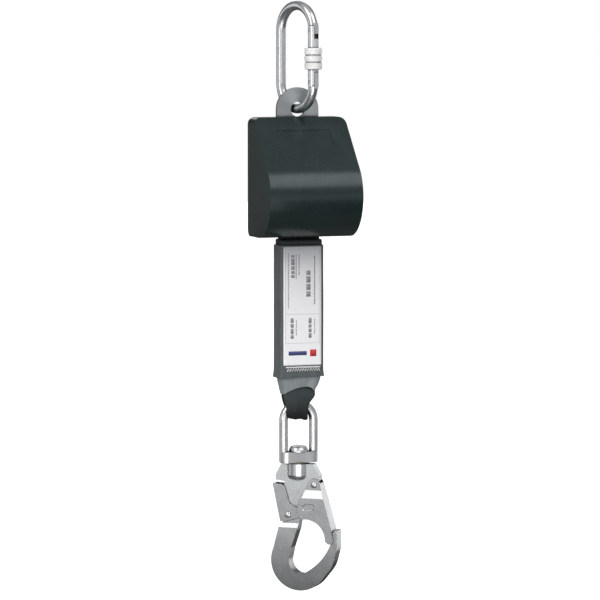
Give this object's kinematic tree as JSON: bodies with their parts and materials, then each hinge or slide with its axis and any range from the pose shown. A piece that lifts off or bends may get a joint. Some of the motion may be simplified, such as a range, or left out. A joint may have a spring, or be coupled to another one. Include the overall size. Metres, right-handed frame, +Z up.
{
  "type": "self retracting lifeline",
  "caption": "Webbing retractor in a black housing on a screw-gate carabiner, with a tear-webbing energy absorber and a swivel safety hook.",
  "frame": {"origin": "where the load bears on the carabiner: the inside of its upper bow", "axes": "+Z up along the lifeline, +X right across the housing, -Y towards the sloping front of the housing"},
  "size_m": [0.099, 0.0943, 0.6094],
  "materials": {
    "polished_steel": "polished bright steel",
    "zinc_sleeve": "knurled zinc plate",
    "grey_plate": "tumbled grey steel plate",
    "spring_steel": "blued spring steel",
    "hook_steel": "satin forged steel",
    "sheet_steel": "pressed stainless sheet",
    "brake_steel": "hardened steel",
    "bronze": "sintered bronze",
    "drum_alloy": "cast alloy",
    "housing_plastic": "semi-gloss black nylon",
    "guide_plastic": "matte black acetal",
    "black_webbing": "woven polyester webbing",
    "grey_sleeve": "grey coated fabric",
    "label_white": "satin white label"
  },
  "bodies": {
    "carabiner": {"carabiner_body": "polished_steel"},
    "carabiner_gate": {"carabiner_gate": "polished_steel", "carabiner_gate_pin": "polished_steel", "carabiner_latch_pin": "polished_steel", "carabiner_gate_spring": "spring_steel", "carabiner_plunger": "polished_steel"},
    "carabiner_sleeve": {"carabiner_sleeve": "zinc_sleeve"},
    "housing": {"front_housing": "housing_plastic", "rear_cover": "housing_plastic", "housing_screws": "sheet_steel", "frame_bracket": "grey_plate", "frame_screws": "sheet_steel", "shaft_bushes": "bronze", "webbing_lead": "black_webbing", "webbing_guide": "guide_plastic", "spring_case": "sheet_steel", "spring_case_lid": "sheet_steel", "spring_case_screws": "sheet_steel", "power_spring": "spring_steel", "ratchet_ring": "brake_steel", "ratchet_screws": "sheet_steel"},
    "drum": {"main_shaft": "brake_steel", "shaft_clips": "spring_steel", "drum": "drum_alloy", "webbing_anchor_pin": "brake_steel", "wound_webbing": "black_webbing", "spring_arbor": "brake_steel", "pawl_carrier": "brake_steel", "pawl_pins": "brake_steel", "pawl_springs": "spring_steel"},
    "pawl_a": {"pawl_a": "brake_steel"},
    "pawl_b": {"pawl_b": "brake_steel"},
    "line": {"lifeline_webbing": "black_webbing", "absorber_pack": "black_webbing", "absorber_sleeve": "grey_sleeve", "id_label": "label_white", "connector_loop": "black_webbing"},
    "eye": {"swivel_eye": "polished_steel"},
    "hook": {"hook_body": "hook_steel", "swivel_pin": "polished_steel", "thrust_washer": "bronze", "gate_rivet": "polished_steel", "lever_rivet": "polished_steel", "gate_spring": "spring_steel", "lever_spring": "spring_steel"},
    "hook_gate": {"hook_gate": "sheet_steel"},
    "lock_lever": {"lock_lever": "sheet_steel"}
  },
  "joints": [
    {"name": "housing_swing", "type": "hinge", "parent": "carabiner", "child": "housing", "pos_m": [0, 0, -0.1015], "axis": [0, 1, 0], "range_deg": [-60, 60]},
    {"name": "carabiner_gate_open", "type": "hinge", "parent": "carabiner", "child": "carabiner_gate", "pos_m": [0.00932, -0.02427, -0.0728], "axis": [-0.9336, -0.3584, 0], "range_deg": [0, 28]},
    {"name": "sleeve_unscrew", "type": "slide", "parent": "carabiner_gate", "child": "carabiner_sleeve", "axis": [0, 0, -1], "range_m": [-0.016, 0.004]},
    {"name": "line_pay_out", "type": "slide", "parent": "housing", "child": "line", "axis": [0, 0, -1], "range_m": [0, 1.895], "deforming": ["lifeline_webbing"]},
    {"name": "drum_spin", "type": "hinge", "parent": "housing", "child": "drum", "pos_m": [0, -0.023, -0.1895], "axis": [-1, 0, 0], "range_deg": [0, 4680]},
    {"name": "pawl_a_swing", "type": "hinge", "parent": "drum", "child": "pawl_a", "pos_m": [0, -0.01, -0.1895], "axis": [1, 0, 0], "range_deg": [0, 16]},
    {"name": "pawl_b_swing", "type": "hinge", "parent": "drum", "child": "pawl_b", "pos_m": [0, -0.036, -0.1895], "axis": [1, 0, 0], "range_deg": [0, 16]},
    {"name": "eye_swing", "type": "hinge", "parent": "line", "child": "eye", "pos_m": [0, -0.0046, -0.406], "axis": [1, 0, 0], "range_deg": [-60, 60]},
    {"name": "hook_swivel", "type": "hinge", "parent": "eye", "child": "hook", "pos_m": [0, -0.0046, -0.466], "axis": [0, 0, 1], "continuous": true},
    {"name": "hook_gate_open", "type": "hinge", "parent": "hook", "child": "hook_gate", "pos_m": [0.0151, -0.01662, -0.4883], "axis": [0.6225, 0.7826, 0], "range_deg": [0, 25]},
    {"name": "lever_squeeze", "type": "hinge", "parent": "hook", "child": "lock_lever", "pos_m": [-0.00728, 0.00119, -0.5207], "axis": [0.6225, 0.7826, 0], "range_deg": [0, 10]}
  ],
  "couplings": [
    {"joint": "drum_spin", "follows": "line_pay_out", "rad_per_m": 43.104}
  ]
}
